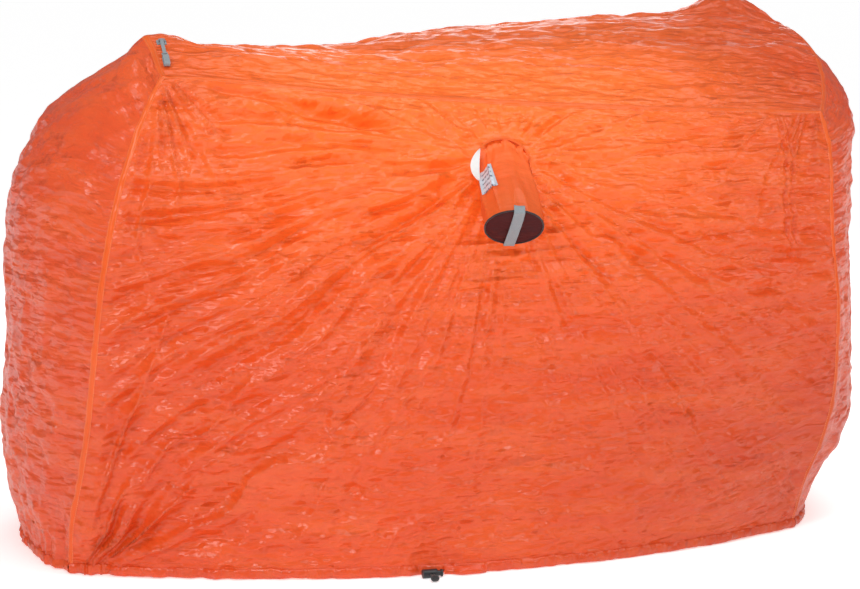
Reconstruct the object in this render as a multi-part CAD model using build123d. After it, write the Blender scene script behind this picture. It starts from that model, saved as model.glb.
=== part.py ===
from build123d import *
import math
import os

# Occupied four-person group shelter. +X along the long side, front faces -Y, +Z up.
# Origin: centre of the footprint box on the ground. All sizes in mm.
WALL = 1.5            # fabric thickness as modelled
TAPE = 0.8            # seam tape thickness
TAPE_HALF = 7.0       # seam tape reach either side of its seam
SEAM_RUNS = 24        # straight runs in each roof seam tape
HEM_H = 18.0          # hem casing height
HEM_T = 9.0           # hem casing depth
TUNNEL_WALL = 1.0
CORD_D = 3.0
CORD_Z = 7.5          # height of the drawcord's centre line
CORD_TURN = 4.5       # drawcord bend radius in the hem corners
CORD_GAP = 4.0        # centre to centre, two tails at the exit
EXIT_X = -103.0       # drawcord exit, on the front hem
TAIL = 34.0           # tail length in front of the hem

SACK_X = 40.0         # stuff sack centre
PORT_TOP, PORT_BOTTOM = 702.0, 640.0
PORT_HALF_W = 42.0
SACK_R = 46.0
SACK_TILT = 41.0      # base normal, from straight down
SACK_BASE = (-376.0, 573.0)
SACK_T = 1.2
SACK_CLEAR = 5.0      # mouth stands this far off the front panel

TAPE_W, TAPE_T = 6.0, 0.8
TAB_W, TAB_T, TAB_L = 10.0, 1.2, 34.0
TAB_LOOP_R = 4.7
LOOP_IN, LOOP_OUT = 1.7, 2.5

LOCK_R, LOCK_L = 7.3, 25.0
PLUNGER_R, PLUNGER_BORE = 4.6, 5.0
PRESS = 5.0

X_SHIFT, Y_SHIFT = -2.4, 45.9   # bring the footprint box's centre onto the origin
LEVEL_STEP = 45.0     # panels are built in bands no taller than this

# Wall levels: plane (z0, slope along x), corners front-left, front-right, rear-right,
# rear-left, then how far each side bows out (front, right, rear, left).
WALL_LEVELS = [
    (18, 0.0, (-668, -195), (598, -215), (640, 225), (-690, 235), (150, 60, 85, 45)),
    (150, 0.0, (-652, -235), (633, -245), (680, 250), (-690, 255), (112, 85, 68, 70)),
    (350, 0.0, (-627, -268), (641, -268), (688, 268), (-680, 270), (76, 72, 58, 74)),
    (520, 0.0, (-608, -272), (642, -262), (680, 266), (-660, 268), (58, 76, 52, 88)),
    (640, -0.015, (-575, -252), (646, -240), (668, 258), (-625, 258), (46, 82, 45, 92)),
    (712, -0.04, (-540, -230), (648, -218), (650, 246), (-572, 245), (34, 64, 38, 70)),
    (766, -0.06, (-508, -205), (647, -198), (636, 236), (-515, 224), (27, 36, 30, 30)),
    (775, -0.06, (-502, -200), (646, -193), (632, 233), (-504, 220), (26, 30, 28, 22)),
]
ROOF_LEVELS = [
    WALL_LEVELS[-1],
    (783, -0.055, (-500, -190), (644, -180), (632, 230), (-500, 208), (24, 22, 26, 16)),
    (838, 0.0, (-506, -150), (630, -80), (640, 216), (-500, 140), (16, 10, 16, 8)),
    (884, 0.045, (-506, -112), (560, 70), (618, 186), (-494, 60), (10, 4, 8, 4)),
]


def flat_row(level):
    z, slope, *rest = level
    row = [z, slope]
    for x, y in rest[:4]:
        row += [x + X_SHIFT, y + Y_SHIFT]
    return row + list(rest[4])


def level_from(row):
    pts = [(row[2 + 2 * k], row[3 + 2 * k]) for k in range(4)]
    return (row[0], row[1], *pts, tuple(row[10:]))


def refined(levels):
    """Smooth cubic through the level table, at most LEVEL_STEP apart."""
    rows = [flat_row(lev) for lev in levels]
    n = len(rows)
    slopes = []
    for i in range(n):
        a, b = rows[max(i - 1, 0)], rows[min(i + 1, n - 1)]
        slopes.append([(q - p) / (b[0] - a[0]) for p, q in zip(a, b)])
    out = []
    for i in range(n - 1):
        a, b, h = rows[i], rows[i + 1], rows[i + 1][0] - rows[i][0]
        steps = max(1, math.ceil(h / LEVEL_STEP))
        for k in range(steps):
            t = k / steps
            c = (2 * t ** 3 - 3 * t ** 2 + 1, (t ** 3 - 2 * t ** 2 + t) * h,
                 3 * t ** 2 - 2 * t ** 3, (t ** 3 - t ** 2) * h)
            out.append(level_from([c[0] * p + c[1] * dp + c[2] * q + c[3] * dq
                                   for p, dp, q, dq in zip(a, slopes[i], b, slopes[i + 1])]))
    return out + [level_from(rows[-1])]


WALLS = refined(WALL_LEVELS)
ROOF = refined(ROOF_LEVELS)


def unit(x, y):
    n = math.hypot(x, y)
    return (x / n, y / n)


class Section:
    """Four bowed sides through four corners, lying in one sloping plane."""

    def __init__(self, level):
        self.z0, self.slope = level[0], level[1]
        self.corners, self.sags = level[2:6], level[6]

    def ends(self, side):
        return self.corners[side], self.corners[(side + 1) % 4], self.sags[side]

    def arc_point(self, side, f):
        """Point and outward normal at fraction f of a side."""
        a, b, s = self.ends(side)
        ux, uy = unit(b[0] - a[0], b[1] - a[1])
        nx, ny = uy, -ux
        chord = math.hypot(b[0] - a[0], b[1] - a[1])
        r = (chord ** 2 / 4 + s ** 2) / (2 * s)
        half = math.asin(chord / 2 / r)
        ang = -half + 2 * half * f
        mx, my = (a[0] + b[0]) / 2 - nx * (r - s), (a[1] + b[1]) / 2 - ny * (r - s)
        px, py = math.cos(ang), math.sin(ang)
        n = (nx * px + ux * py, ny * px + uy * py)
        return (mx + n[0] * r, my + n[1] * r), n

    def corner(self, k, out):
        """Corner k moved outward so both its sides move by `out`."""
        _, n1 = self.arc_point((k + 3) % 4, 1.0)
        _, n2 = self.arc_point(k, 0.0)
        q = out / (1 + n1[0] * n2[0] + n1[1] * n2[1])
        c = self.corners[k]
        return (c[0] + (n1[0] + n2[0]) * q, c[1] + (n1[1] + n2[1]) * q)

    def lift(self, p):
        return Vector(p[0], p[1], self.z0 + self.slope * p[0])

    def side_arc(self, side, out=0.0):
        p, n = self.arc_point(side, 0.5)
        mid = (p[0] + n[0] * out, p[1] + n[1] * out)
        a, b = self.corner(side, out), self.corner((side + 1) % 4, out)
        return Edge.make_three_point_arc(self.lift(a), self.lift(mid), self.lift(b))

    def loop(self, out=0.0):
        return Wire([self.side_arc(k, out) for k in range(4)])

    def strip(self, side, out, inn):
        """Thin closed outline between two offsets of one side."""
        o, i = self.side_arc(side, out), self.side_arc(side, inn)
        return Wire([o, Edge.make_line(o @ 1, i @ 1), i, Edge.make_line(i @ 0, o @ 0)])

    def faceted_strip(self, side, out, inn, count):
        """The same outline as strip, with each arc as short straight runs."""
        rows = []
        for off in (out, inn):
            arc = self.side_arc(side, off)
            rows.append([arc @ (i / count) for i in range(count + 1)])
        return Wire.make_polygon(rows[0] + rows[1][::-1], close=True)

    def corner_strip(self, k, reach, thick):
        """Narrow outline that wraps corner k."""
        rows = []
        for out in (0.0, thick):
            row = []
            for side, at_end in (((k + 3) % 4, True), (k, False)):
                f = reach / (self.side_arc(side).length)
                p, n = self.arc_point(side, 1 - f if at_end else f)
                row.append((p[0] + n[0] * out, p[1] + n[1] * out))
            rows.append([row[0], self.corner(k, out), row[1]])
        pts = [self.lift(p) for p in rows[0] + rows[1][::-1]]
        return Wire.make_polygon(pts, close=True)


def front_y(z, x=SACK_X):
    """Front panel's outside at height z, near x."""
    rows = []
    for lev in WALLS:
        sec = Section(lev)
        a, b, _ = sec.ends(0)
        p, _ = sec.arc_point(0, (x - a[0]) / (b[0] - a[0]))
        rows.append((sec.z0 + sec.slope * x, p[1]))
    for (z1, y1), (z2, y2) in zip(rows, rows[1:]):
        if z1 <= z <= z2:
            return y1 + (y2 - y1) * (z - z1) / (z2 - z1)


def loft_strips(levels, make):
    return Solid.make_loft([make(Section(lev)) for lev in levels], True)


def make_wall(side):
    return loft_strips(WALLS, lambda s: s.strip(side, 0.0, -WALL))


def port_outline(grow):
    """Oval mouth outline, lying along the front panel. Returns its plane and ellipse."""
    top = Vector(SACK_X, front_y(PORT_TOP), PORT_TOP)
    low = Vector(SACK_X, front_y(PORT_BOTTOM), PORT_BOTTOM)
    up = (top - low).normalized()
    plane = Plane(origin=(top + low) * 0.5, x_dir=(1, 0, 0), z_dir=Vector(1, 0, 0).cross(up))
    return plane, PORT_HALF_W + grow, (top - low).length / 2 + grow


def oval_prism(grow, start, depth):
    plane, rx, ry = port_outline(grow)
    face = Pos(0, 0, start) * Ellipse(rx, ry)
    return plane * extrude(face, amount=depth, dir=(0, 0, 1))


def make_front_panel():
    return make_wall(0) - oval_prism(0, -25, 50)


def make_port_binding():
    return oval_prism(4, -2.2, 5.0) - oval_prism(0.2, -5, 12)


def make_roof():
    outer = Solid.make_loft([Section(lev).loop() for lev in ROOF], True)
    inner_levels = [Section(lev).loop(-WALL) for lev in ROOF[:-1]]
    top = ROOF[-1]
    lower_top = Section((top[0] - WALL, *top[1:]))
    inner = Solid.make_loft(inner_levels + [lower_top.loop(-WALL)], True)
    return outer - inner


def make_corner_seam(k):
    return loft_strips(WALLS, lambda s: s.corner_strip(k, TAPE_HALF, TAPE))


def make_roof_seam(side):
    return loft_strips([WALLS[-2], WALLS[-1], ROOF[1]],
                       lambda s: s.faceted_strip(side, TAPE, 0.0, SEAM_RUNS))


def ground_section(z=0.0):
    return Section((z, 0.0, *WALLS[0][2:]))


def hem_block(side, out, inn, z1, z2):
    face = Face(ground_section(z1).strip(side, out, inn))
    return extrude(face, amount=z2 - z1, dir=(0, 0, 1))


def front_hem_y(x):
    sec = ground_section()
    a, b, s = sec.ends(0)
    lo, hi = 0.0, 1.0
    for _ in range(40):
        f = (lo + hi) / 2
        lo, hi = (f, hi) if sec.arc_point(0, f)[0][0] < x else (lo, f)
    return sec.arc_point(0, lo)[0][1]


EXIT_Y = front_hem_y(EXIT_X)


def exit_holes(r, y1, y2):
    holes = [Pos(EXIT_X + s * CORD_GAP / 2, (y1 + y2) / 2, CORD_Z) * Rot(90, 0, 0) * Cylinder(r, y2 - y1)
             for s in (-1, 1)]
    return holes[0] + holes[1]


def make_hem(side):
    w = TUNNEL_WALL
    solid = hem_block(side, 0, -HEM_T, 0, HEM_H) - hem_block(side, -w, -HEM_T + w, w, HEM_H - w)
    if side == 0:
        solid -= exit_holes(CORD_D / 2 + 0.9, EXIT_Y - 5, EXIT_Y + 3)
    return solid


def make_eyelets():
    rim = exit_holes(CORD_D / 2 + 1.7, EXIT_Y - 0.8, EXIT_Y + 0.1)
    bush = exit_holes(CORD_D / 2 + 0.9, EXIT_Y - 0.8, EXIT_Y + 1.6)
    return (rim + bush) - exit_holes(CORD_D / 2 + 0.3, EXIT_Y - 9, EXIT_Y + 9)


def make_drawcord():
    """One cord round the whole casing, both ends out through the front eyelets."""
    sec = ground_section(CORD_Z)
    mid = HEM_T / 2
    ring = fillet(Face(sec.loop(-mid)).vertices(), CORD_TURN).face().outer_wire()
    half = CORD_GAP / 2
    slot_x = half + CORD_TURN
    y_in = EXIT_Y + mid
    cut = Pos(EXIT_X, y_in, CORD_Z) * Box(2 * slot_x, 12, 4)
    tube = sweep(Plane(ring @ 0, z_dir=ring % 0) * Circle(CORD_D / 2), path=ring, transition=Transition.ROUND)
    tube = tube - cut
    for s in (-1, 1):
        bend = Edge.make_three_point_arc(
            Vector(EXIT_X + s * slot_x, y_in, CORD_Z),
            Vector(EXIT_X + s * (slot_x - CORD_TURN * math.sin(math.pi / 4)),
                   y_in - CORD_TURN * (1 - math.cos(math.pi / 4)), CORD_Z),
            Vector(EXIT_X + s * half, y_in - CORD_TURN, CORD_Z))
        tail = Edge.make_line(bend @ 1, Vector(EXIT_X + s * half, EXIT_Y - TAIL, CORD_Z))
        path = Wire([bend, tail])
        tube += sweep(Plane(path @ 0, z_dir=path % 0) * Circle(CORD_D / 2), path=path)
    return tube


def make_cord_knot():
    """Overhand knot that joins the two tails."""
    r, straight = 5.2, 4.0
    ball = Pos(0, 0, straight / 2) * Sphere(r) + Pos(0, 0, -straight / 2) * Sphere(r)
    return Pos(EXIT_X, EXIT_Y - TAIL - 3.5, CORD_Z - 1.2) * Rot(0, 90, 0) * (Cylinder(r, straight) + ball)


def make_exit_flap():
    """Fold of spare casing fabric beside the drawcord exit."""
    xs = [EXIT_X + 26 + i * 8.5 for i in range(9)]
    front = [Vector(x, front_hem_y(x) - 1.2 - 7 * math.sin(math.pi * i / 8), 0.4) for i, x in enumerate(xs)]
    back = [Vector(x, front_hem_y(x) - 0.05, 0.4) for x in xs]
    outline = Wire([Edge.make_spline(front), Edge.make_line(front[-1], back[-1]),
                    Edge.make_spline(back), Edge.make_line(back[0], front[0])])
    return extrude(Face(outline), amount=13, dir=(0, 0, 1))


def sack_plane():
    t = math.radians(SACK_TILT)
    normal = Vector(0, -math.sin(t), -math.cos(t))
    return Plane(origin=(SACK_X, SACK_BASE[0] + Y_SHIFT, SACK_BASE[1]), x_dir=(1, 0, 0), z_dir=normal)


def sack_solid(grow, mouth_at=0.0, base_at=0.0):
    """Loft from the oval mouth to the round base, `grow` larger all round."""
    plane, rx, ry = port_outline(-1.0 + grow)
    mouth = (plane * Pos(0, 0, SACK_CLEAR + mouth_at) * Ellipse(rx, ry)).face().outer_wire()
    round_base = Ellipse(SACK_R + grow, SACK_R + grow - 0.001)
    base = (sack_plane() * Pos(0, 0, base_at) * round_base).face().outer_wire()
    return Solid.make_loft([mouth, base], True)


def make_sack_body():
    return sack_solid(0) - sack_solid(-SACK_T, -0.01, 0.01)


def make_sack_base():
    return sack_plane() * Pos(0, 0, 0.6) * Cylinder(SACK_R, SACK_T)


def make_base_piping():
    return sack_plane() * Pos(0, 0, 0.5) * Torus(SACK_R + 1.3, 1.3)


def make_mouth_binding():
    plane, rx, ry = port_outline(-1.0)
    start = Pos(0, 0, SACK_CLEAR)
    ring = extrude(start * (Ellipse(rx + 1.0, ry + 1.0) - Ellipse(rx, ry)), amount=5, dir=(0, 0, 1))
    return plane * ring - sack_solid(0)


def make_sack_handle():
    """Webbing carried straight across the base, its ends turned up the sides."""
    width, thick, lift = 17.0, 1.2, 3.0
    r = SACK_R + 2.8
    bow = Edge.make_three_point_arc(Vector(0, -r, SACK_T + 0.1), Vector(0, 0, SACK_T + lift), Vector(0, r, SACK_T + 0.1))
    out = Edge.make_three_point_arc(Vector(0, -r - thick, SACK_T + 0.3), Vector(0, 0, SACK_T + lift + thick),
                                    Vector(0, r + thick, SACK_T + 0.3))
    front = [Vector(0, r + thick, SACK_T + 0.3), Vector(0, r + thick, -9), Vector(0, r, -9), Vector(0, r, SACK_T + 0.1)]
    back = [Vector(0, -p.Y, p.Z) for p in front]
    edges = [bow, out]
    for row in (front, back):
        edges += [Edge.make_line(p, q) for p, q in zip(row, row[1:])]
    face = Face(Wire(edges))
    strip = extrude(face, amount=width / 2, dir=(1, 0, 0), both=True)
    return sack_plane() * Rot(0, 0, 4) * strip


def make_sack_label():
    shell = sack_solid(0.9, 0, 1) - sack_solid(0.15, -1, 1)
    window = Pos(SACK_X - 50, -352 + Y_SHIFT, 640) * Box(36, 60, 44)
    return (shell & window).solids().sort_by(SortBy.VOLUME)[-1]


def make_sack_seam():
    """Lap seam down the sack's back."""
    shell = sack_solid(1.0, 0, 1) - sack_solid(0.15, -1, 1)
    window = Pos(SACK_X + 46, -380 + Y_SHIFT, 600) * Box(40, 9, 400)
    return (shell & window).solids().sort_by(SortBy.VOLUME)[-1]


def make_care_label():
    """Folded white label sewn into the front panel beside the sack."""
    plane, rx, ry = port_outline(0)
    tag = extrude(Pos(-rx - 17, -6, 1.2) * Rot(0, 0, 8) * Rectangle(15, 50), amount=0.5, dir=(0, 0, 1))
    foot = extrude(Pos(-rx - 15, 15, -1.6) * Rectangle(12, 2.4), amount=3.0, dir=(0, 0, 1))
    return plane * (tag + foot)


def roof_front_plane(x, y_frac, side=0):
    """Plane on the roof's front (0) or rear (2) slope: origin on the fabric, Y down the slope."""
    lo, hi = Section(ROOF[-2]), Section(ROOF[-1])
    pts = []
    for sec in (lo, hi):
        a, b, _ = sec.ends(side)
        p, _ = sec.arc_point(side, (x - a[0]) / (b[0] - a[0]))
        pts.append(sec.lift(p))
    down = (pts[0] - pts[1]).normalized()
    normal = down.cross(Vector(1, 0, 0)) if side == 0 else Vector(1, 0, 0).cross(down)
    normal = normal if normal.Z > 0 else normal * -1
    origin = pts[1] + down * y_frac
    return Plane(origin=origin, x_dir=down.cross(normal), z_dir=normal)


# Each pole loop lies on the roof's slope: left one at the front, right one at the rear.
LOOPS = {"left": roof_front_plane(-494, 3.0, 0), "right": roof_front_plane(600, 3.0, 2)}
TAPE_LEN = 40.0
LIE = 5.9             # hinge line height above the fabric


def make_anchor(plane):
    """Stitched patch with the little bar the pole tape turns on."""
    patch = Box(16, 12, 3.0)
    cheeks = [Pos(s * 4.6, 0, LIE / 2 + 0.7) * Box(1.6, 3.4, LIE + 1.4) for s in (-1, 1)]
    bar = Pos(0, 0, LIE) * Rot(0, 90, 0) * Cylinder(1.1, 9.6)
    return plane * (patch + cheeks[0] + cheeks[1] + bar)


def make_tape(plane):
    """Narrow tape with a sewn eye at each end."""
    eyes = [Pos(0, y, LIE) * Rot(0, 90, 0) * (Cylinder(LOOP_OUT, TAPE_W) - Cylinder(LOOP_IN, TAPE_W + 2))
            for y in (0, TAPE_LEN)]
    strip = Pos(0, TAPE_LEN / 2, LIE) * Box(TAPE_W, TAPE_LEN - 2 * LOOP_IN - 1.0, TAPE_T)
    return plane * (eyes[0] + eyes[1] + strip)


def round_ended(r, y, span, width):
    """Flat-sided tube profile with round ends, running along X."""
    ends = [Pos(0, y + d, 0) * Rot(0, 90, 0) * Cylinder(r, width) for d in (0, span)]
    return ends[0] + ends[1] + Pos(0, y + span / 2, 0) * Box(width, span, 2 * r)


def make_tab(plane):
    """Wide webbing tab: slotted where the tape holds it, opened into a pole loop below."""
    plate = Pos(0, TAPE_LEN + 3.4, LIE) * Box(TAB_W, 8.6, TAB_T)
    plate -= Pos(0, TAPE_LEN + 3.1, LIE) * Box(7.0, 4.6, 4)
    y1 = TAPE_LEN + 6.6 + TAB_LOOP_R
    span = TAB_L - 6.6 - 2 * TAB_LOOP_R
    loop = round_ended(TAB_LOOP_R, y1, span, TAB_W) - round_ended(TAB_LOOP_R - TAB_T, y1, span, TAB_W + 2)
    return plane * (plate + Pos(0, 0, LIE) * loop)


def lock_at(dx, dy=0.0):
    return Pos(EXIT_X + dx, EXIT_Y - 12 + dy, CORD_Z)


def make_lock_body():
    """Toggle barrel, closed at its left end, with one cross slot for both cords."""
    barrel = fillet(Cylinder(LOCK_R, LOCK_L).edges().filter_by(GeomType.CIRCLE), 1.2)
    bore = Pos(0, 0, 2.0) * Cylinder(PLUNGER_BORE, LOCK_L)
    slot = Pos(0, 0, 2.5) * Rot(90, 0, 0) * slot_block(CORD_GAP + CORD_D + 1.2, CORD_D + 1.2, 40)
    ribs = [Pos(0, 0, z) * Torus(LOCK_R - 0.1, 0.3) for z in (-9.5, -7.5, 8.5, 10.3)]
    solid = barrel - bore - slot
    for rib in ribs:
        solid += rib - bore
    return lock_at(-2.5) * Rot(0, 90, 0) * solid


def slot_block(length, width, depth):
    return extrude(Rot(0, 0, 90) * SlotOverall(length, width), amount=depth / 2, both=True)


def make_lock_plunger():
    stem = Pos(0, 0, 7.5) * Cylinder(PLUNGER_R, 22)
    cap = Pos(0, 0, LOCK_L / 2 + PRESS + 2.4) * fillet(Cylinder(LOCK_R - 1.0, 3.4).edges(), 0.8)
    slot_len = CORD_GAP + CORD_D + 1.2 + PRESS
    slot = Pos(0, 0, 2.5 + PRESS / 2) * Rot(90, 0, 0) * slot_block(slot_len, CORD_D + 1.2, 40)
    return lock_at(-2.5) * Rot(0, 90, 0) * (stem + cap - slot)


def make_lock_spring():
    length, r = 6.2, 3.4
    helix = Helix(pitch=1.7, height=length - 1.2, radius=r)
    wire = sweep(Plane(helix @ 0, z_dir=helix % 0) * Circle(0.4), path=helix)
    return lock_at(-2.5) * Rot(0, 90, 0) * Pos(0, 0, -LOCK_L / 2 + 2.0 + 0.65) * wire


SIDES = ("front", "right_end", "rear", "left_end")
CORNERS = ("front_left", "front_right", "rear_right", "rear_left")


def build_nodes():
    nodes = {"front_panel": make_front_panel(), "roof_panel": make_roof()}
    for k in (1, 2, 3):
        nodes[f"{SIDES[k]}_panel"] = make_wall(k)
    for k in range(4):
        nodes[f"{CORNERS[k]}_corner_seam"] = make_corner_seam(k)
        nodes[f"{SIDES[k]}_roof_seam"] = make_roof_seam(k)
        nodes[f"{SIDES[k]}_hem_casing"] = make_hem(k)
    nodes["hem_drawcord"] = make_drawcord()
    nodes["hem_drawcord_knot"] = make_cord_knot()
    nodes["hem_exit_eyelets"] = make_eyelets()
    nodes["hem_exit_flap"] = make_exit_flap()
    nodes["sack_port_binding"] = make_port_binding()
    nodes["care_label"] = make_care_label()
    nodes["sack_body"] = make_sack_body()
    nodes["sack_base"] = make_sack_base()
    nodes["sack_base_piping"] = make_base_piping()
    nodes["sack_handle"] = make_sack_handle()
    nodes["sack_label"] = make_sack_label()
    nodes["sack_side_seam"] = make_sack_seam()
    nodes["sack_mouth_binding"] = make_mouth_binding()
    for name, plane in LOOPS.items():
        nodes[f"{name}_pole_anchor"] = make_anchor(plane)
        nodes[f"{name}_pole_tape"] = make_tape(plane)
        nodes[f"{name}_pole_tab"] = make_tab(plane)
    nodes["hem_lock_body"] = make_lock_body()
    nodes["hem_lock_plunger"] = make_lock_plunger()
    nodes["hem_lock_spring"] = make_lock_spring()
    return nodes


os.makedirs("parts", exist_ok=True)
for node, shape in build_nodes().items():
    export_step(shape, f"parts/{node}.step")
    b = shape.bounding_box()
    print(f"{node:26s} {len(shape.solids())} solids {shape.volume / 1000:9.2f} cm3 "
          f"x {b.min.X:7.1f} {b.max.X:7.1f} y {b.min.Y:7.1f} {b.max.Y:7.1f} z {b.min.Z:6.1f} {b.max.Z:6.1f}")
for name, plane in LOOPS.items():
    print(name, "loop plane", plane.origin, plane.x_dir, plane.y_dir, plane.z_dir)
print("exit y", EXIT_Y, "port", port_outline(0))
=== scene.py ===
import math
import bpy
import numpy as np
from mathutils import Matrix


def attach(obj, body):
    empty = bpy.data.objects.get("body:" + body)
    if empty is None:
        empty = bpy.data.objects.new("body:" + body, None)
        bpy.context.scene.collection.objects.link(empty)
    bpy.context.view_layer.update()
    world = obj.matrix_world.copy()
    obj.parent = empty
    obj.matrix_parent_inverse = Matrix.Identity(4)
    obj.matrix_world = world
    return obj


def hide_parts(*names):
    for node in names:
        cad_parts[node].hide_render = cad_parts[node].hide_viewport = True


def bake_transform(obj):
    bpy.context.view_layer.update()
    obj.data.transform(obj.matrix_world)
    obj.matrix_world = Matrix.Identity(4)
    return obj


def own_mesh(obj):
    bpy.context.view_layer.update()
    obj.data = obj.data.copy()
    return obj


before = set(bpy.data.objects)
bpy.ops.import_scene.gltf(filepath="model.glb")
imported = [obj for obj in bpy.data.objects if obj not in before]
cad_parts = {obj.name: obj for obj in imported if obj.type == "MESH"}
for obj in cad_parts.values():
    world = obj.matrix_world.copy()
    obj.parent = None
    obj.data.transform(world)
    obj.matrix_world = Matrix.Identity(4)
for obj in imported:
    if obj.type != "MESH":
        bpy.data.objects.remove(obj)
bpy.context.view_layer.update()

MM = 0.001


# ---------------------------------------------------------------- camera
CAMERA_EYE = (-1.0001, -3.8353, 1.04)
CAMERA_AIM = (-0.0124, 0.0459, 0.408)
CAMERA_LENS, CAMERA_SENSOR = 96.3, 36.0


def placed(where, at):
    """Matrix of something at `where` that looks at `at` along its own -Z."""
    w, a = np.array(where, float), np.array(at, float)
    z = (w - a) / np.linalg.norm(w - a)
    x = np.cross([0, 0, 1], z)
    x /= np.linalg.norm(x)
    y = np.cross(z, x)
    rows = [[x[i], y[i], z[i], w[i]] for i in range(3)]
    return Matrix(rows + [[0, 0, 0, 1]])


def add_camera():
    """Camera at standing height, four metres away and a little to the left."""
    data = bpy.data.cameras.new("photo_camera")
    data.lens, data.sensor_width, data.clip_end = CAMERA_LENS, CAMERA_SENSOR, 300.0
    data.dof.use_dof = False
    cam = bpy.data.objects.new("photo_camera", data)
    bpy.context.collection.objects.link(cam)
    cam.matrix_world = placed(CAMERA_EYE, CAMERA_AIM)
    bpy.context.scene.camera = cam


add_camera()


# ---------------------------------------------------------------- noise
def hash01(ix, iy, seed):
    """Fixed scatter of values from 0 to 1 on a whole-number grid."""
    h = (ix.astype(np.int64) * 374761393 + iy.astype(np.int64) * 668265263 + seed * 974711) & 0x7FFFFFFF
    h = ((h ^ (h >> 13)) * 1274126177) & 0x7FFFFFFF
    return ((h ^ (h >> 16)) & 0xFFFFF) / float(0xFFFFF)


def noise(x, y, seed):
    """Smooth value noise, -1 to 1."""
    ix, iy = np.floor(x), np.floor(y)
    fx, fy = x - ix, y - iy
    ux, uy = fx * fx * fx * (fx * (fx * 6 - 15) + 10), fy * fy * fy * (fy * (fy * 6 - 15) + 10)
    a, b = hash01(ix, iy, seed), hash01(ix + 1, iy, seed)
    c, d = hash01(ix, iy + 1, seed), hash01(ix + 1, iy + 1, seed)
    return 2 * (a + (b - a) * ux + (c - a) * uy + (a - b - c + d) * ux * uy) - 1


def fbm(x, y, seed, octaves=3):
    """Noise with finer noise added on top, -1 to 1."""
    total, amp, norm = 0.0, 1.0, 0.0
    for k in range(octaves):
        total = total + amp * noise(x * 2 ** k + 7.3 * k, y * 2 ** k - 3.1 * k, seed + k)
        norm, amp = norm + amp, amp * 0.5
    return total / norm


def facets(x, y, seed):
    """Crumpled cloth: flat-sided hollows that meet in sharp ridges, about 0 to 1."""
    ix, iy = np.floor(x), np.floor(y)
    best = np.full(np.shape(x), 9.0)
    for dx in (-1, 0, 1):
        for dy in (-1, 0, 1):
            cx, cy = ix + dx, iy + dy
            px = cx + 0.15 + 0.7 * hash01(cx, cy, seed)
            py = cy + 0.15 + 0.7 * hash01(cx, cy, seed + 11)
            tx, ty = hash01(cx, cy, seed + 23) - 0.5, hash01(cx, cy, seed + 37) - 0.5
            qx, qy = x - px, y - py
            d = 0.55 * np.sqrt(qx * qx + qy * qy) + 0.35 * (qx * qx + qy * qy) + 0.5 * (tx * qx + ty * qy)
            best = np.minimum(best, d)
    return best


def turned(x, y, degrees):
    """x and y in axes turned by `degrees`."""
    a = math.radians(degrees)
    return x * math.cos(a) + y * math.sin(a), -x * math.sin(a) + y * math.cos(a)


def crease(x, y, long_size, short_size, degrees, seed):
    """Long creases that run along `degrees`."""
    u, v = turned(x, y, degrees)
    v = v + 0.35 * short_size * fbm(u / long_size * 1.3, v / long_size * 2.0, seed + 90, 2)
    first = facets(u / long_size, v / short_size, seed)
    second = facets(u / long_size + 4.4, v / short_size - 2.7, seed + 5)
    return 0.8 * (first - second)


def step(x, lo, hi):
    """0 below lo, 1 above hi, smooth between."""
    t = np.clip((x - lo) / (hi - lo), 0, 1)
    return t * t * (3 - 2 * t)


def bump_at(x, y, cx, cy, rx, ry):
    """Round bump of height 1 at cx, cy."""
    return np.exp(-((x - cx) / rx) ** 2 - ((y - cy) / ry) ** 2)


# ---------------------------------------------------------------- shelter's base shape
LEVELS_CENTRE = np.array([-2.4, 45.9, 0])
LEVELS = [   # height share; corners FL, FR, RR, RL as x, y, z in mm; how far front, right, rear, left bow out
    (0.00, (-668, -195, 18), (598, -215, 18), (640, 225, 18), (-690, 235, 18), (150, 66, 85, 45)),
    (0.17, (-652, -235, 150), (633, -245, 150), (680, 250, 150), (-690, 255, 150), (112, 100, 68, 76)),
    (0.43, (-627, -268, 350), (641, -268, 350), (688, 268, 350), (-680, 270, 350), (76, 94, 58, 88)),
    (0.65, (-608, -272, 520), (642, -262, 515), (680, 266, 520), (-660, 268, 520), (58, 100, 52, 108)),
    (0.81, (-575, -252, 650), (646, -240, 625), (668, 258, 640), (-625, 258, 645), (46, 108, 45, 116)),
    (0.92, (-535, -226, 755), (648, -214, 690), (660, 248, 742), (-565, 244, 735), (32, 112, 38, 92)),
    (1.00, (-502, -200, 815), (646, -193, 732), (646, 236, 810), (-504, 220, 800), (24, 62, 28, 24)),
]


def curve(rows, ts):
    """Cubic through the level rows at the height shares ts."""
    t = np.array([r[0] for r in LEVELS])
    v = np.array(rows, float)
    m = np.gradient(v, t, axis=0)
    i = np.clip(np.searchsorted(t, ts, "right") - 1, 0, len(t) - 2)
    h = (t[i + 1] - t[i])[:, None]
    s = ((ts - t[i]) / h[:, 0])[:, None]
    return ((2 * s ** 3 - 3 * s ** 2 + 1) * v[i] + (s ** 3 - 2 * s ** 2 + s) * h * m[i]
            + (3 * s ** 2 - 2 * s ** 3) * v[i + 1] + (s ** 3 - s ** 2) * h * m[i + 1])


def corner_curve(k, ts):
    """Upright corner seam k, in metres."""
    p = curve([r[1 + k] for r in LEVELS], ts)
    return (p + LEVELS_CENTRE) * MM


def bow(k, ts):
    """How far wall k bows out at the height shares ts, in metres."""
    return curve([[r[5][k]] for r in LEVELS], ts)[:, 0] * MM


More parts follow.
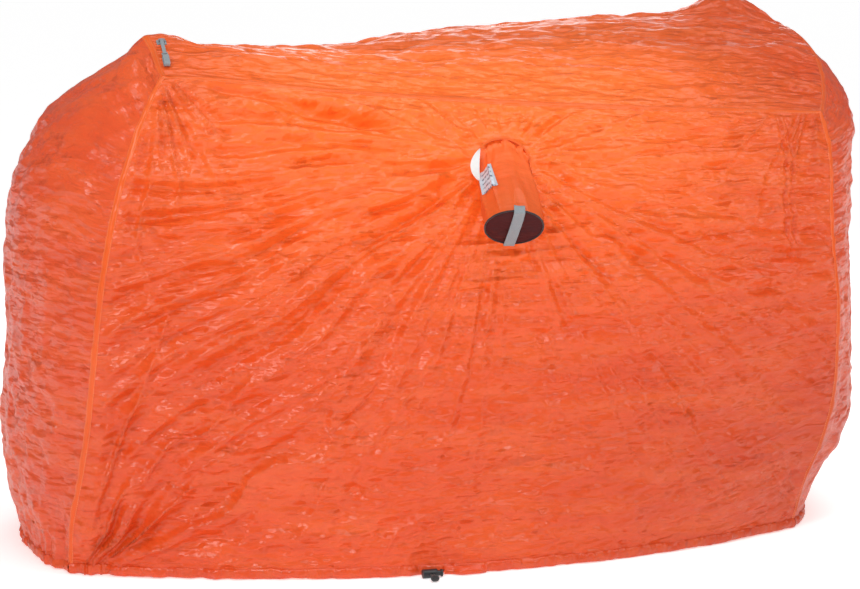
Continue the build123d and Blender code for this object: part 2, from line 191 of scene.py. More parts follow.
def bowed(a, b, s, f):
    """Points along circular arcs from a to b that bow out by s. a, b (n,3), s (n,), f (m,)."""
    chord = (b - a)[:, :2]
    length = np.linalg.norm(chord, axis=1)
    u = chord / length[:, None]
    n = np.stack([u[:, 1], -u[:, 0]], 1)
    r = (length ** 2 / 4 + s ** 2) / (2 * s)
    half = np.arcsin(np.clip(length / 2 / r, -1, 1))
    ang = -half[:, None] + 2 * half[:, None] * f[None, :]
    mid = (a[:, :2] + b[:, :2]) / 2 - n * (r - s)[:, None]
    arc = n[:, None] * np.cos(ang)[..., None] + u[:, None] * np.sin(ang)[..., None]
    xy = mid[:, None] + arc * r[:, None, None]
    z = a[:, 2:3] + (b[:, 2:3] - a[:, 2:3]) * f[None, :]
    return np.concatenate([xy, z[..., None]], 2)


# Peaks of the roof's two ends: share along the end's top seam, then how far it stands up and leans.
LEFT_PEAK = dict(at=0.79, up=0.048, lean=0.008)
RIGHT_PEAK = dict(at=0.80, up=0.080, lean=0.004)

FRONT_SAG = 0.013   # dip of the front wall's top edge at its middle

# Where a pole tape lies on the roof: point on the cloth, way down the slope, outward normal.
POLES = (((-0.4939, -0.0668, 0.8603), (0, -0.8623, -0.5065), (0, -0.5065, 0.8623)),
         ((0.5999, 0.2318, 0.9083), (0, 0.4061, -0.9138), (0, 0.9138, 0.4061)))
TAPE_SPAN = (-0.006, 0.066)   # from above the anchor to the tape's low end
TAPE_FLAT = (0.010, 0.045)    # no folds nearer than the first, full folds past the second


def end_top(k, f):
    """Extra offset of an end wall's top seam at shares f."""
    p = RIGHT_PEAK if k == 1 else LEFT_PEAK
    left = np.clip(f / p["at"], 0, 1)
    right = np.clip((1 - f) / (1 - p["at"]), 0, 1)
    hump = np.sin(np.minimum(left, right) * math.pi / 2) ** 1.5
    return np.stack([p["lean"] * hump, 0 * f, p["up"] * hump], 1)


def wall_base(k, f, v):
    """Smooth shape of wall k at shares f along it and v up it."""
    f, ts = np.asarray(f, float), np.asarray(v, float)
    g = bowed(corner_curve(k, ts), corner_curve((k + 1) % 4, ts), bow(k, ts), f)
    if k == 0:
        sag = np.sin(math.pi * f) ** 1.2 * FRONT_SAG
        g = g - np.stack([0 * sag, 0 * sag, sag], 1)[None] * (ts ** 3)[:, None, None]
    if k in (1, 3):
        g = g + end_top(k, f)[None] * (ts ** 3)[:, None, None]
    return g


# Lumps of the front wall: height in metres, then centre x, z and radii.
FRONT_LUMPS = ((0.020, (0.33, 0.36, 0.17, 0.13)), (0.016, (-0.30, 0.33, 0.17, 0.12)),
               (-0.016, (0.06, 0.26, 0.12, 0.16)), (-0.012, (-0.52, 0.16, 0.09, 0.12)))


def soft_lump(p):
    """Slow in and out of the whole shelter where backs and knees press. Same on both sides of a seam."""
    x, y, z = p[..., 0], p[..., 1], p[..., 2]
    a = noise(x / 0.33 + 3.1, z / 0.27 + y * 1.3, 5) * 0.010 + noise(x / 0.17, z / 0.15 + y * 2.1, 8) * 0.0045
    knees = 0.0
    for height, at in FRONT_LUMPS:
        knees = knees + height * bump_at(x, z, *at)
    a = a + step(-y, 0.05, 0.2) * knees
    a = a * step(z, 0.0, 0.10) * (1 - step(z, 0.72, 0.86))
    out = np.stack([x * 0.45, y, 0 * x], -1)
    out /= np.linalg.norm(out, axis=-1, keepdims=True) + 1e-6
    return p + out * a[..., None]


def tape_distance(d, y):
    """Distance from a pole tape, for offsets d from its anchor; y is the tape's direction."""
    along = np.clip(d @ y, *TAPE_SPAN)
    return np.linalg.norm(d - along[..., None] * y, axis=-1)


def pole_weight(p, near, far):
    """1 under the pole tapes, 0 away from them."""
    total = np.zeros(p.shape[:-1])
    for o, y, _ in POLES:
        total = np.maximum(total, 1 - step(tape_distance(p - np.array(o), np.array(y)), near, far))
    return total


def taut(p):
    """Cloth drawn flat under each pole tape."""
    for o, y, n in POLES:
        d, n = p - np.array(o), np.array(n)
        w = 1 - step(tape_distance(d, np.array(y)), 0.016, 0.085)
        p = p - n * (w * (d @ n))[..., None]
    return p


def normals(g):
    """Unit normals of a grid of points."""
    du, dv = np.gradient(g, axis=1), np.gradient(g, axis=0)
    n = np.cross(du, dv)
    return n / (np.linalg.norm(n, axis=-1, keepdims=True) + 1e-12)


def spaced(length, count, near=(0.003, 0.0056)):
    """Shares 0..1 with rows a few millimetres from both ends."""
    inner = np.linspace(near[-1] * 1.9 / length, 1 - near[-1] * 1.9 / length, count)
    first = [0.0] + [d / length for d in near]
    return np.concatenate([first, inner, [1 - s for s in first[::-1]]])


# ---------------------------------------------------------------- mesh helpers
def wrapped(grid, closed):
    """The grid with its first column repeated at the end when the surface closes on itself."""
    return np.concatenate([grid, grid[:, :1]], 1) if closed else grid


def corners_of(count_rows, count_cols, closed=False, keep=None):
    """Four point numbers for each cell of a grid; `keep` marks the cells that stay."""
    idx = wrapped(np.arange(count_rows * count_cols).reshape(count_rows, count_cols), closed)
    quads = np.stack([idx[:-1, :-1], idx[:-1, 1:], idx[1:, 1:], idx[1:, :-1]], -1)
    return (quads if keep is None else quads[keep]).reshape(-1, 4)


def grid_mesh(name, g, uv, closed=False, keep=None):
    """Smooth mesh object over a grid of points. `closed` joins the last column to the first."""
    rows, cols = g.shape[:2]
    quads = corners_of(rows, cols, closed, keep)
    me = bpy.data.meshes.new(name)
    me.vertices.add(rows * cols)
    me.vertices.foreach_set("co", g.reshape(-1).astype(np.float32))
    me.loops.add(quads.size)
    me.polygons.add(len(quads))
    me.loops.foreach_set("vertex_index", quads.reshape(-1).astype(np.int32))
    me.polygons.foreach_set("loop_start", np.arange(0, quads.size, 4, dtype=np.int32))
    me.polygons.foreach_set("loop_total", np.full(len(quads), 4, dtype=np.int32))
    if closed:
        one_turn = uv[0, -1, 0] - uv[0, -2, 0] + uv[0, -1, 0] - uv[0, 0, 0]
        uv = np.concatenate([uv, uv[:, :1] + [one_turn, 0]], 1)
    coords = uv.reshape(-1, 2)[corners_of(rows, uv.shape[1], keep=keep).reshape(-1)]
    me.uv_layers.new(name="UVMap").data.foreach_set("uv", coords.reshape(-1).astype(np.float32))
    me.update(calc_edges=True)
    me.validate()
    me.polygons.foreach_set("use_smooth", np.ones(len(me.polygons), dtype=bool))
    o = bpy.data.objects.new(name, me)
    bpy.context.collection.objects.link(o)
    return o


def finish_piece(o, material, body, node):
    """Give a piece its material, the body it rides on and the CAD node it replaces."""
    o.data.materials.append(material)
    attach(o, body)
    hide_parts(node)


# ---------------------------------------------------------------- materials
class Nodes:
    """Small helper to write a node tree down briefly."""

    def __init__(self, name):
        self.mat = bpy.data.materials.new(name)
        self.mat.use_nodes = True
        self.tree = self.mat.node_tree
        self.tree.nodes.clear()

    def add(self, kind, inputs=None, **props):
        n = self.tree.nodes.new("ShaderNode" + kind)
        for key, value in props.items():
            setattr(n, key, value)
        for key, value in (inputs or {}).items():
            if isinstance(value, bpy.types.NodeSocket):
                self.tree.links.new(value, n.inputs[key])
            else:
                n.inputs[key].default_value = value
        return n

    def math(self, op, a, b=0.0, clamp=False):
        return self.add("Math", {0: a, 1: b}, operation=op, use_clamp=clamp).outputs[0]

    def times(self, a, b):
        return self.math("MULTIPLY", a, b)

    def less(self, a, b):
        return self.math("SUBTRACT", a, b)

    def size_of(self, a):
        return self.math("ABSOLUTE", a)

    def rest_of(self, a):
        """1 minus a."""
        return self.less(1.0, a)

    def mix(self, fac, a, b, blend="MIX"):
        n = self.add("Mix", data_type="RGBA", blend_type=blend)
        for key, value in ((0, fac), (6, a), (7, b)):
            if isinstance(value, bpy.types.NodeSocket):
                self.tree.links.new(value, n.inputs[key])
            else:
                n.inputs[key].default_value = value
        return n.outputs[2]

    def ramp(self, fac, lo, hi):
        return self.add("MapRange", {0: fac, 1: lo, 2: hi}, interpolation_type="SMOOTHSTEP").outputs[0]

    def done(self, shader):
        out = self.add("OutputMaterial")
        self.tree.links.new(shader, out.inputs[0])
        return self.mat


def scaled(t, vector, sx, sy, turn=0.0):
    """Stretch and turn a flat vector."""
    return t.add("Mapping", {0: vector, 2: (0, 0, math.radians(turn)), 3: (sx, sy, 1.0)}).outputs[0]


def soft_noise(t, vector, scale=1.0, detail=3.0):
    return t.add("TexNoise", {"Vector": vector, "Scale": scale, "Detail": detail}).outputs[0]


def crumple_height(t, uv, size, seed, stretch=(1, 1), turn=0.0):
    """Height of one layer of sharp little creases, size in metres."""
    base = scaled(t, uv, stretch[0] / size, stretch[1] / size, turn=turn)
    warp = t.add("TexNoise", {"Vector": base, "Scale": 0.8, "Detail": 2.0}, noise_dimensions="2D").outputs[1]
    moved = t.add("VectorMath", {0: warp, 1: (0.9, 0.9, 0)}, operation="MULTIPLY").outputs[0]
    moved = t.add("VectorMath", {0: base, 1: moved}, operation="ADD").outputs[0]
    moved = t.add("VectorMath", {0: moved, 1: (seed * 3.7, seed * 1.9, 0)}, operation="ADD").outputs[0]
    v = t.add("TexVoronoi", {"Vector": moved, "Scale": 1.0}, voronoi_dimensions="2D", feature="F1")
    return v.outputs["Distance"]


RIPSTOP_PITCH = 0.005    # between the thicker threads
STITCH_PITCH = 0.0034    # one stitch and the gap after it
STITCH_ROWS = (-0.0045, 0.0045)


def ripstop(t, uv):
    """Fine grid of thicker threads over the cloth."""
    sep = t.add("SeparateXYZ", {0: uv})
    lines = []
    for k in (0, 1):
        w = t.math("FRACT", t.times(sep.outputs[k], 1 / RIPSTOP_PITCH))
        lines.append(t.ramp(t.size_of(t.less(w, 0.5)), 0.42, 0.5))
    return t.math("MAXIMUM", lines[0], lines[1])


# Layers of flat little facets: size in metres, how far they tilt, stretch, turn in degrees.
FACET_LAYERS = ((0.028, 0.30, (0.40, 1.6), 9), (0.015, 0.38, (0.5, 1.6), -24), (0.0075, 0.36, (0.8, 1.2), 35))


def facet_normal(t, uv, normal, patchy, amount):
    """Tilt the normal by a random amount in each flat little facet between creases."""
    for size, tilt, stretch, turn in FACET_LAYERS:
        place = scaled(t, uv, stretch[0] / size, stretch[1] / size, turn=turn)
        cell = t.add("TexVoronoi", {"Vector": place, "Scale": 1.0, "Randomness": 1.0},
                     voronoi_dimensions="2D", feature="F1").outputs["Color"]
        off = t.add("VectorMath", {0: cell, 1: (0.5, 0.5, 0.5)}, operation="SUBTRACT").outputs[0]
        k = t.times(t.math("ADD", t.times(patchy, 0.75), 0.25), tilt * amount)
        off = t.add("VectorMath", {0: off, "Scale": k}, operation="SCALE").outputs[0]
        normal = t.add("VectorMath", {0: normal, 1: off}, operation="ADD").outputs[0]
    return t.add("VectorMath", {0: normal}, operation="NORMALIZE").outputs[0]


def cloth_colour_with_painted_light(t, pos, deep, bright, glow):
    """Deep orange low down, with a painted glow near the top of the middle where light would come through,
    cloudy random patches, and painted shade darker low down towards the right.
    """
    sep = t.add("SeparateXYZ", {0: pos})
    x, z = sep.outputs[0], sep.outputs[2]
    cloudy = t.add("TexNoise", {"Vector": pos, "Scale": 5.0, "Detail": 4.0, "Roughness": 0.6}).outputs[0]
    middle = t.rest_of(t.ramp(t.size_of(x), 0.15, 0.85))
    # Painted glow: brighter towards the top of the middle, where light would shine through the cloth, plus
    # cloudy random patches.
    painted_glow = t.times(t.times(t.ramp(z, 0.30, 0.80), middle), glow)
    painted_glow = t.math("ADD", t.times(painted_glow, 0.75), t.times(cloudy, 0.30), clamp=True)
    colour = t.mix(painted_glow, deep, bright)
    # Painted shade: darker low down towards the right, where people inside would block the light.
    painted_shade = t.times(t.rest_of(t.ramp(z, 0.10, 0.55)), t.ramp(x, -0.2, 0.6))
    return t.mix(t.times(painted_shade, 0.55), colour, tuple(0.62 * c for c in deep[:3]) + (1,))


def cloth_creases(t, uv, pos, seed, grid):
    """Height of the fine creases: level ones all over, slanting ones low down."""
    low = t.rest_of(t.ramp(t.add("SeparateXYZ", {0: pos}).outputs[2], 0.22, 0.50))
    level = t.rest_of(t.times(low, 0.8))
    layers = ((0.034, 0.50, (0.32, 1.5), 6, level), (0.018, 0.26, (0.45, 1.5), -17, level),
              (0.040, 0.55, (0.45, 1.4), 34, low), (0.020, 0.26, (0.5, 1.5), -36, low))
    total = t.times(grid, 0.004)
    for size, amount, stretch, turn, where in layers:
        layer = t.times(crumple_height(t, uv, size, seed, stretch, turn), amount)
        total = t.math("ADD", total, t.times(layer, where))
    return total


def stitching(t, uv):
    """Two rows of stitches along a tape, 1 on the thread."""
    s = t.add("SeparateXYZ", {0: uv})
    along = t.math("FRACT", t.times(s.outputs[0], 1 / STITCH_PITCH))
    dash = t.ramp(t.size_of(t.less(along, 0.5)), 0.18, 0.30)
    rows = [t.rest_of(t.ramp(t.size_of(t.less(s.outputs[1], at)), 0.0003, 0.0007)) for at in STITCH_ROWS]
    return t.times(t.math("MAXIMUM", rows[0], rows[1]), t.rest_of(dash))


def nylon(name, deep, bright, glow=1.0, rough=0.29, thickness=1.0, stitched=False, crinkle=1.0, spec=0.52,
          through=0.26):
    """Thin crinkled nylon. `through` is the share of light that passes through the cloth."""
    t = Nodes(name)
    uv, pos = t.add("TexCoord").outputs["UV"], t.add("TexCoord").outputs["Object"]
    grid = ripstop(t, uv)
    # Colour with painted glow and painted shade, placed by where it lies on the shelter.
    colour = cloth_colour_with_painted_light(t, pos, deep, bright, glow)
    if through:
        streak = soft_noise(t, scaled(t, uv, 5, 22))
        colour = t.mix(t.times(t.ramp(streak, 0.35, 0.75), 0.22), colour, (0.97, 0.24, 0.06, 1))
        colour = t.mix(t.times(grid, 0.12), colour, (0.62, 0.07, 0.012, 1))
    h = cloth_creases(t, uv, pos, len(name) % 5, grid)
    if stitched:
        stitch = stitching(t, uv)
        colour = t.mix(t.times(stitch, 0.55), colour, (0.98, 0.52, 0.30, 1))
        h = t.math("ADD", t.times(h, 0.35), t.times(stitch, 0.06))
    bump = t.add("Bump", {"Height": h, "Strength": 1.0, "Distance": 0.0115 * thickness}).outputs[0]
    patchy = t.ramp(soft_noise(t, scaled(t, uv, 9, 14), detail=2.0), 0.32, 0.62)
    bump = facet_normal(t, uv, bump, patchy, crinkle)
    gloss = {"Roughness": rough, "Specular IOR Level": spec, "Sheen Weight": 0.02, "Sheen Roughness": 0.35,
             "Coat Weight": 0.14 * spec, "Coat Roughness": 0.28}
    front = t.add("BsdfPrincipled", {"Base Color": colour, **gloss, "Normal": bump})
    inner = t.add("BsdfTranslucent", {"Color": t.mix(0.5, colour, (1.0, 0.33, 0.05, 1)), "Normal": bump})
    return t.done(t.add("MixShader", {0: through, 1: front.outputs[0], 2: inner.outputs[0]}).outputs[0])


def woven(name, colour, dark, rib=0.0016):
    """Woven tape, cord or binding with ribs `rib` metres apart."""
    t = Nodes(name)
    pos = t.add("TexCoord").outputs["Object"]
    wave = {"Vector": pos, "Scale": 1 / rib / 3.1, "Distortion": 0.6, "Detail": 1.0, "Detail Scale": 2.0}
    waves = [t.add("TexWave", wave, bands_direction=direction).outputs[1] for direction in ("X", "Z")]
    h = t.times(waves[0], waves[1])
    col = t.mix(t.times(h, 0.8), dark, colour)
    col = t.mix(t.times(soft_noise(t, pos, 60.0), 0.3), col, dark)
    b = t.add("Bump", {"Height": h, "Strength": 0.8, "Distance": 0.0004}).outputs[0]
    p = t.add("BsdfPrincipled", {"Base Color": col, "Roughness": 0.75, "Sheen Weight": 0.25, "Normal": b})
    return t.done(p.outputs[0])


def plain(name, colour, rough=0.5, metal=0.0, size=300.0):
    """Plastic, metal or satin with a faint grain."""
    t = Nodes(name)
    n = soft_noise(t, t.add("TexCoord").outputs["Object"], size, 4.0)
    col = t.mix(t.times(n, 0.35), colour, tuple(c * 0.55 for c in colour[:3]) + (1,))
    r = t.math("ADD", rough - 0.08, t.times(n, 0.16))
    b = t.add("Bump", {"Height": n, "Strength": 0.5, "Distance": 0.0002}).outputs[0]
    p = t.add("BsdfPrincipled", {"Base Color": col, "Roughness": r, "Metallic": metal, "Normal": b})
    return t.done(p.outputs[0])


def striped_label(name):
    """Satin label with plain stripes instead of print."""
    t = Nodes(name)
    uv = t.add("TexCoord").outputs["UV"]
    s = t.add("SeparateXYZ", {0: uv})
    bars = t.ramp(t.math("FRACT", t.times(s.outputs[1], 5.0)), 0.60, 0.68)
    broken = soft_noise(t, scaled(t, uv, 14, 3), detail=1.0)
    inside = t.rest_of(t.ramp(t.size_of(t.less(s.outputs[0], 0.5)), 0.36, 0.40))
    bars = t.times(t.times(bars, inside), t.ramp(broken, 0.36, 0.50))
    col = t.mix(soft_noise(t, scaled(t, uv, 3, 5)), (0.80, 0.83, 0.88, 1), (0.46, 0.52, 0.62, 1))
    col = t.mix(t.times(bars, 0.85), col, (0.10, 0.11, 0.16, 1))
    p = t.add("BsdfPrincipled", {"Base Color": col, "Roughness": 0.28, "Sheen Weight": 0.2, "Metallic": 0.25})
    return t.done(p.outputs[0])


# glow sets how strong the painted glow is in each cloth's colour.
M = {
    "panel": nylon("shell_nylon", (0.70, 0.062, 0.014, 1), (0.96, 0.195, 0.028, 1)),
    "end": nylon("end_nylon", (0.68, 0.070, 0.022, 1), (0.88, 0.155, 0.040, 1), glow=0.6),
    "tape": nylon("seam_nylon", (0.88, 0.12, 0.022, 1), (0.98, 0.20, 0.030, 1), thickness=0.4, stitched=True,
                  crinkle=0.35, spec=0.3),
    "hem": nylon("hem_nylon", (0.82, 0.085, 0.018, 1), (0.92, 0.13, 0.025, 1), thickness=0.6, crinkle=0.5),
    "sack": nylon("sack_nylon", (0.90, 0.125, 0.028, 1), (0.96, 0.17, 0.035, 1), thickness=0.25, rough=0.40,
                  crinkle=0.22, spec=0.32),
    "maroon": nylon("base_nylon", (0.050, 0.006, 0.007, 1), (0.07, 0.009, 0.010, 1), thickness=0.4,
                    rough=0.75, crinkle=0.5, spec=0.2, through=0.0),
    "webbing": woven("grey_webbing", (0.46, 0.52, 0.55, 1), (0.22, 0.25, 0.27, 1)),
    "piping": woven("black_piping", (0.035, 0.025, 0.03, 1), (0.01, 0.008, 0.01, 1), rib=0.0012),
    "cord": woven("black_cord", (0.04, 0.04, 0.045, 1), (0.012, 0.012, 0.014, 1), rib=0.0011),
    "plastic": plain("black_plastic", (0.022, 0.022, 0.025, 1), rough=0.42),
    "steel": plain("spring_steel", (0.6, 0.6, 0.62, 1), rough=0.3, metal=1.0),
    "eyelet": plain("eyelet_metal", (0.45, 0.43, 0.40, 1), rough=0.35, metal=1.0),
    "label": striped_label("label_satin"),
    "care": plain("care_satin", (0.86, 0.84, 0.82, 1), rough=0.4, size=160.0),
}


# ---------------------------------------------------------------- walls
SACK_AT = (0.040, 0.673)

# Fold widths that take over from one another with distance from the sack: distance, width.
FOLD_STAGES = ((0.06, 0.013), (0.12, 0.017), (0.24, 0.022), (0.42, 0.028), (0.72, 0.034))

# Where gathers fan out: x, z, reach, height, rays per radian, noise seed.
FANS = ((-0.67, -0.02, 0.30, 0.019, 9, 61), (0.63, 0.78, 0.22, 0.007, 8, 71),
        (-0.52, 0.84, 0.26, 0.008, 8, 75), (0.64, 0.0, 0.16, 0.006, 8, 79))


def radial_folds(x, z, seed):
    """Long folds that run out from the sack's mouth and split as they spread."""
    dx, dz = x - SACK_AT[0], (z - SACK_AT[1])
    r, a = np.hypot(dx, dz) + 1e-6, np.arctan2(dz, -dx)
    a = a + 0.045 * noise(x / 0.22, z / 0.18, seed + 7) * step(r, 0.05, 0.3)
    total, ln = 0.0, np.log(r)
    for k, (rk, width) in enumerate(FOLD_STAGES):
        weight = np.clip(1 - np.abs(ln - math.log(rk)) / 0.62, 0, 1) ** 0.8
        f = facets(ln * 0.80 + 3.7 * k, a * rk / width + 5.1 * k, seed + k)
        f = f - facets(ln * 0.95 - 1.7 * k, a * rk / width * 0.8 - 2.1 * k, seed + 20 + k)
        total = total + weight * f * width * 0.40
    side = 0.12 + (0.66 + 0.22 * np.cos(a)) * np.abs(np.cos(a)) ** 0.8
    reach = np.exp(-np.clip(r - 0.12, 0, None) / (0.10 + 0.50 * side))
    return total * reach * (0.35 + 0.65 * side) * step(r, 0.030, 0.060)


PACKING_CREASES = (0.548, 0.562)   # upright creases left from packing, near the right end


def front_wrinkles(x, z):
    """Relief of the front panel in metres, over its x and z."""
    up, low = step(z, 0.40, 0.58), 1 - step(z, 0.30, 0.52)
    h = 0.0055 * up * crease(x, z, 0.30, 0.030, 4, 3)
    h = h + 0.0022 * up * crease(x, z, 0.16, 0.016, -9, 13)
    h = h + 0.0085 * step(z, 0.2, 0.5) * (1 - step(z, 0.5, 0.66)) * crease(x, z, 0.22, 0.036, 7, 23)
    h = h + 0.0050 * low * crease(x, z, 0.24, 0.040, 24, 31)
    h = h + 0.0024 * low * crease(x, z, 0.13, 0.024, -31, 41)
    h = h + 0.0013 * crease(x, z, 0.06, 0.014, 16, 47)
    for cx, cz, reach, amp, rate, seed in FANS:
        r, a = np.hypot(x - cx, z - cz), np.arctan2(z - cz, x - cx)
        f = (1 - np.abs(noise(a * rate + noise(r / 0.09, a * 2, seed), r / 0.4, seed + 1))) ** 2 - 0.4
        h = h + amp * np.exp(-r / reach) * f
    right = step(x, 0.02, 0.22) * step(z, 0.36, 0.46) * (1 - step(z, 0.60, 0.70))
    h = h + 0.0060 * right * crease(x, z, 0.20, 0.030, -7, 27)
    h = h * 2.1 + 4.8 * radial_folds(x, z, 800)
    for cx in PACKING_CREASES:
        w = x - cx - 0.004 * np.sin(z * 30)
        h = h - 0.0055 * np.exp(-(w / 0.0030) ** 2) * step(z, 0.46, 0.54)
    return h


def end_wrinkles(y, z, seed):
    """Relief of an end panel in metres, over its y and z."""
    up, low = step(z, 0.42, 0.62), 1 - step(z, 0.25, 0.5)
    h = 0.005 * up * crease(y, z, 0.20, 0.035, -20, seed + 3)
    h = h + 0.006 * crease(y, z, 0.06, 0.17, 8, seed + 9) * (1 - 0.5 * up)
    h = h + 0.004 * low * crease(y, z, 0.11, 0.04, 40, seed + 17)
    return 1.7 * (h + 0.0024 * crease(y, z, 0.05, 0.02, -30, seed + 23))


def roof_wrinkles(x, w):
    """Relief of the roof in metres, over its length and width."""
    h = 0.0060 * crease(x, w, 0.26, 0.045, 7, 103)
    h = h + 0.0040 * crease(x, w, 0.11, 0.025, -14, 113)
    return 1.7 * (h + 0.0022 * crease(x, w, 0.05, 0.02, 30, 123))


def edge_mask(f, v, length, height, fade=0.034, sides=(1, 1, 1, 1)):
    """0 on the sewn edges, 1 inside. sides: start, end, bottom, top."""
    s = np.ones((len(v), len(f)))
    u, w = f[None], v[:, None]
    for on, d in zip(sides, (u * length, (1 - u) * length, w * height, (1 - w) * height)):
        if on:
            s = s * step(d + 0 * s, 0.0, fade)
    return s


def pucker(f, v, length, height, seed):
    """Short pulls across each sewn edge."""
    total = 0.0
    u, w = f[None], v[:, None]
    edges = ((u * length, w * height), ((1 - u) * length, w * height + 9),
             ((1 - w) * height, u * length + 17))
    for d, along in edges:
        d = d + 0 * w + 0 * u
        along = along + 0 * d
        wave = noise(along / 0.013, d / 0.06, seed) + 0.6 * noise(along / 0.028, d / 0.09, seed + 5)
        total = total + 0.0016 * wave * np.exp(-d / 0.028) * step(d, 0.0, 0.006)
    return total


def gather(x, y):
    """Extra height of the hem's gathers at the left corner and by the drawcord's exit."""
    left = np.exp(-np.hypot(x + 0.67, y + 0.14) / 0.13)
    at_exit = np.exp(-np.abs(x + 0.09) / 0.05) * (y < 0)
    return 0.0085 * left + 0.004 * at_exit


def hem_ruffle(g, s_along, seed):
    """In and out gathers of a wall just above the hem."""
    z = g[..., 2]
    amp = (0.0022 + gather(g[..., 0], g[..., 1])) * np.exp(-np.clip(z - 0.012, 0, None) / 0.055)
    wave = noise(s_along / 0.021, z / 0.10, seed) + 0.5 * noise(s_along / 0.010, z / 0.05, seed + 3)
    return amp * wave


SIDE_NAMES = ("front", "right_end", "rear", "left_end")
COUNTS = {0: (402, 238), 1: (150, 190), 2: (330, 180), 3: (190, 230)}   # columns and rows of each wall's mesh
PORT_RADII = (0.043, 0.032)   # the sack's opening in the front panel
PORT_Z = 0.671
LOCK_X = -0.101
HEM_LINE = 0.012              # height of the panels' bottom edge, inside the hem
WALL = {}


def near_lock(x, k):
    """1 where the front wall passes behind the cord lock, 0 away from it."""
    return np.exp(-((x - LOCK_X) / 0.034) ** 4) * (k == 0)


def build_walls():
    """The four wall panels, each a fine grid with its folds."""
    for k in range(4):
        rough = wall_base(k, np.linspace(0, 1, 60), np.linspace(0, 1, 40))
        length = np.linalg.norm(np.diff(rough[20], axis=0), axis=1).sum()
        height = np.linalg.norm(np.diff(rough[:, 30], axis=0), axis=1).sum()
        nf, nv = COUNTS[k]
        f, v = spaced(length, nf), spaced(height, nv)
        g = taut(soft_lump(wall_base(k, f, v)))
        n = normals(g)
        x, y, z = g[..., 0], g[..., 1], g[..., 2]
        along = np.broadcast_to(f[None] * length, x.shape)
        if k == 0:
            h = front_wrinkles(x, z)
        elif k == 2:
            h = front_wrinkles(-x * 0.9 + 0.21, z * 0.98) * 0.9
        else:
            h = end_wrinkles(y, z, 200 + 50 * k)
        h = h * edge_mask(f, v, length, height, sides=(1, 1, 0, 1))
        h = (h + pucker(f, v, length, height, 300 + k)) * (1 - 0.9 * pole_weight(g, *TAPE_FLAT))
        h = h * (0.20 + 0.80 * step(z, 0.018, 0.075))
        h = h + hem_ruffle(g, along + 3.0 * k, 400) * edge_mask(f, v, length, height, 0.02, (1, 1, 0, 0))
        keep = None
        if k == 0:
            dx, dz = (x - SACK_AT[0]) / PORT_RADII[0], (z - PORT_Z) / PORT_RADII[1]
            d = np.hypot(dx, dz)
            h = h * step(d, 1.0, 1.8) + 0.0040 * np.exp(-np.clip(d - 1, 0, None) / 0.22)
            keep = (d > 0.93)[:-1, :-1]
        g = g + n * h[..., None]
        g[..., 1] += 0.0060 * near_lock(g[..., 0], k) * (1 - step(g[..., 2], 0.030, 0.080))
        g[0, :, 2] = HEM_LINE
        uv = np.stack([along, np.broadcast_to(v[:, None] * height, x.shape)], -1)
        WALL[k] = dict(g=g, n=n, v=v)
        name = f"{SIDE_NAMES[k]}_cloth"
        o = grid_mesh(name, g, uv, keep=keep)
        cloth = M["panel" if k in (0, 2) else "end"]
        finish_piece(o, cloth, "shelter", f"{SIDE_NAMES[k]}_panel")


build_walls()


# ---------------------------------------------------------------- roof
ROOF_LENGTH, ROOF_WIDTH, ROOF_SLOPE = 1.15, 0.48, 0.50   # between the seams; the last one along the cloth
RIGHT_TIP = (0.590, 0.222, 0.085, 0.080)                 # where a head lifts the roof's right end


def build_roof():
    """The roof panel, filled in between the walls' top edges."""
    nx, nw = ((300, 130))
    f, w = spaced(ROOF_LENGTH, nx), spaced(ROOF_WIDTH, nw)
    top = {k: soft_lump(wall_base(k, f if k in (0, 2) else w, np.array([1.0])))[0] for k in range(4)}
    front, rear = top[0], top[2][::-1]
    right, left = top[1], top[3][::-1]
    F, W = f[None, :, None], w[:, None, None]
    g = (1 - W) * front[None] + W * rear[None] + (1 - F) * left[:, None] + F * right[:, None]
    front_corners = (1 - F) * (1 - W) * front[0] + F * (1 - W) * front[-1]
    g = g - (front_corners + (1 - F) * W * rear[0] + F * W * rear[-1])
    inner = np.sin(np.pi * f)[None] * np.sin(np.pi * w)[:, None]
    ff, ww = f[None] + 0 * inner, w[:, None] + 0 * inner
    rise = 0.020 + 0.030 * step(ff, 0.2, 0.85)
    lift = rise * inner ** 0.6 * (0.5 + 0.5 * step(ww, 0.1, 0.7))
    lift = lift - 0.010 * bump_at(ff, ww, 0.25, 0.6, 0.12, 0.5)
    g = g + np.stack([0 * lift, 0 * lift, lift], -1)
    peak = 0.034 * bump_at(g[..., 0], g[..., 1], *RIGHT_TIP)
    peak = peak * edge_mask(f, w, ROOF_LENGTH, ROOF_WIDTH, 0.04)
    g = taut(g + np.stack([0 * peak, 0 * peak, peak], -1))
    n = normals(g)
    uv = np.stack([ff * ROOF_LENGTH, ww * ROOF_SLOPE], -1)
    h = roof_wrinkles(uv[..., 0], uv[..., 1]) * edge_mask(f, w, ROOF_LENGTH, ROOF_SLOPE)
    h = (h + pucker(f, w, ROOF_LENGTH, ROOF_SLOPE, 350)) * (1 - 0.9 * pole_weight(g, *TAPE_FLAT))
    g = g + n * h[..., None]
    o = grid_mesh("roof_cloth", g, uv)
    finish_piece(o, M["panel"], "shelter", "roof_panel")
    return g


ROOF = build_roof()


# ---------------------------------------------------------------- seams
TAPE_LIFT = 0.0005
SHELTER_CENTRE = np.array([0.0, 0.05, 0.42])


def resampled(line, old, new):
    """Points of a line, given at the shares `old`, at the shares `new`."""
    return np.stack([np.interp(new, old, line[:, i]) for i in range(3)], 1)


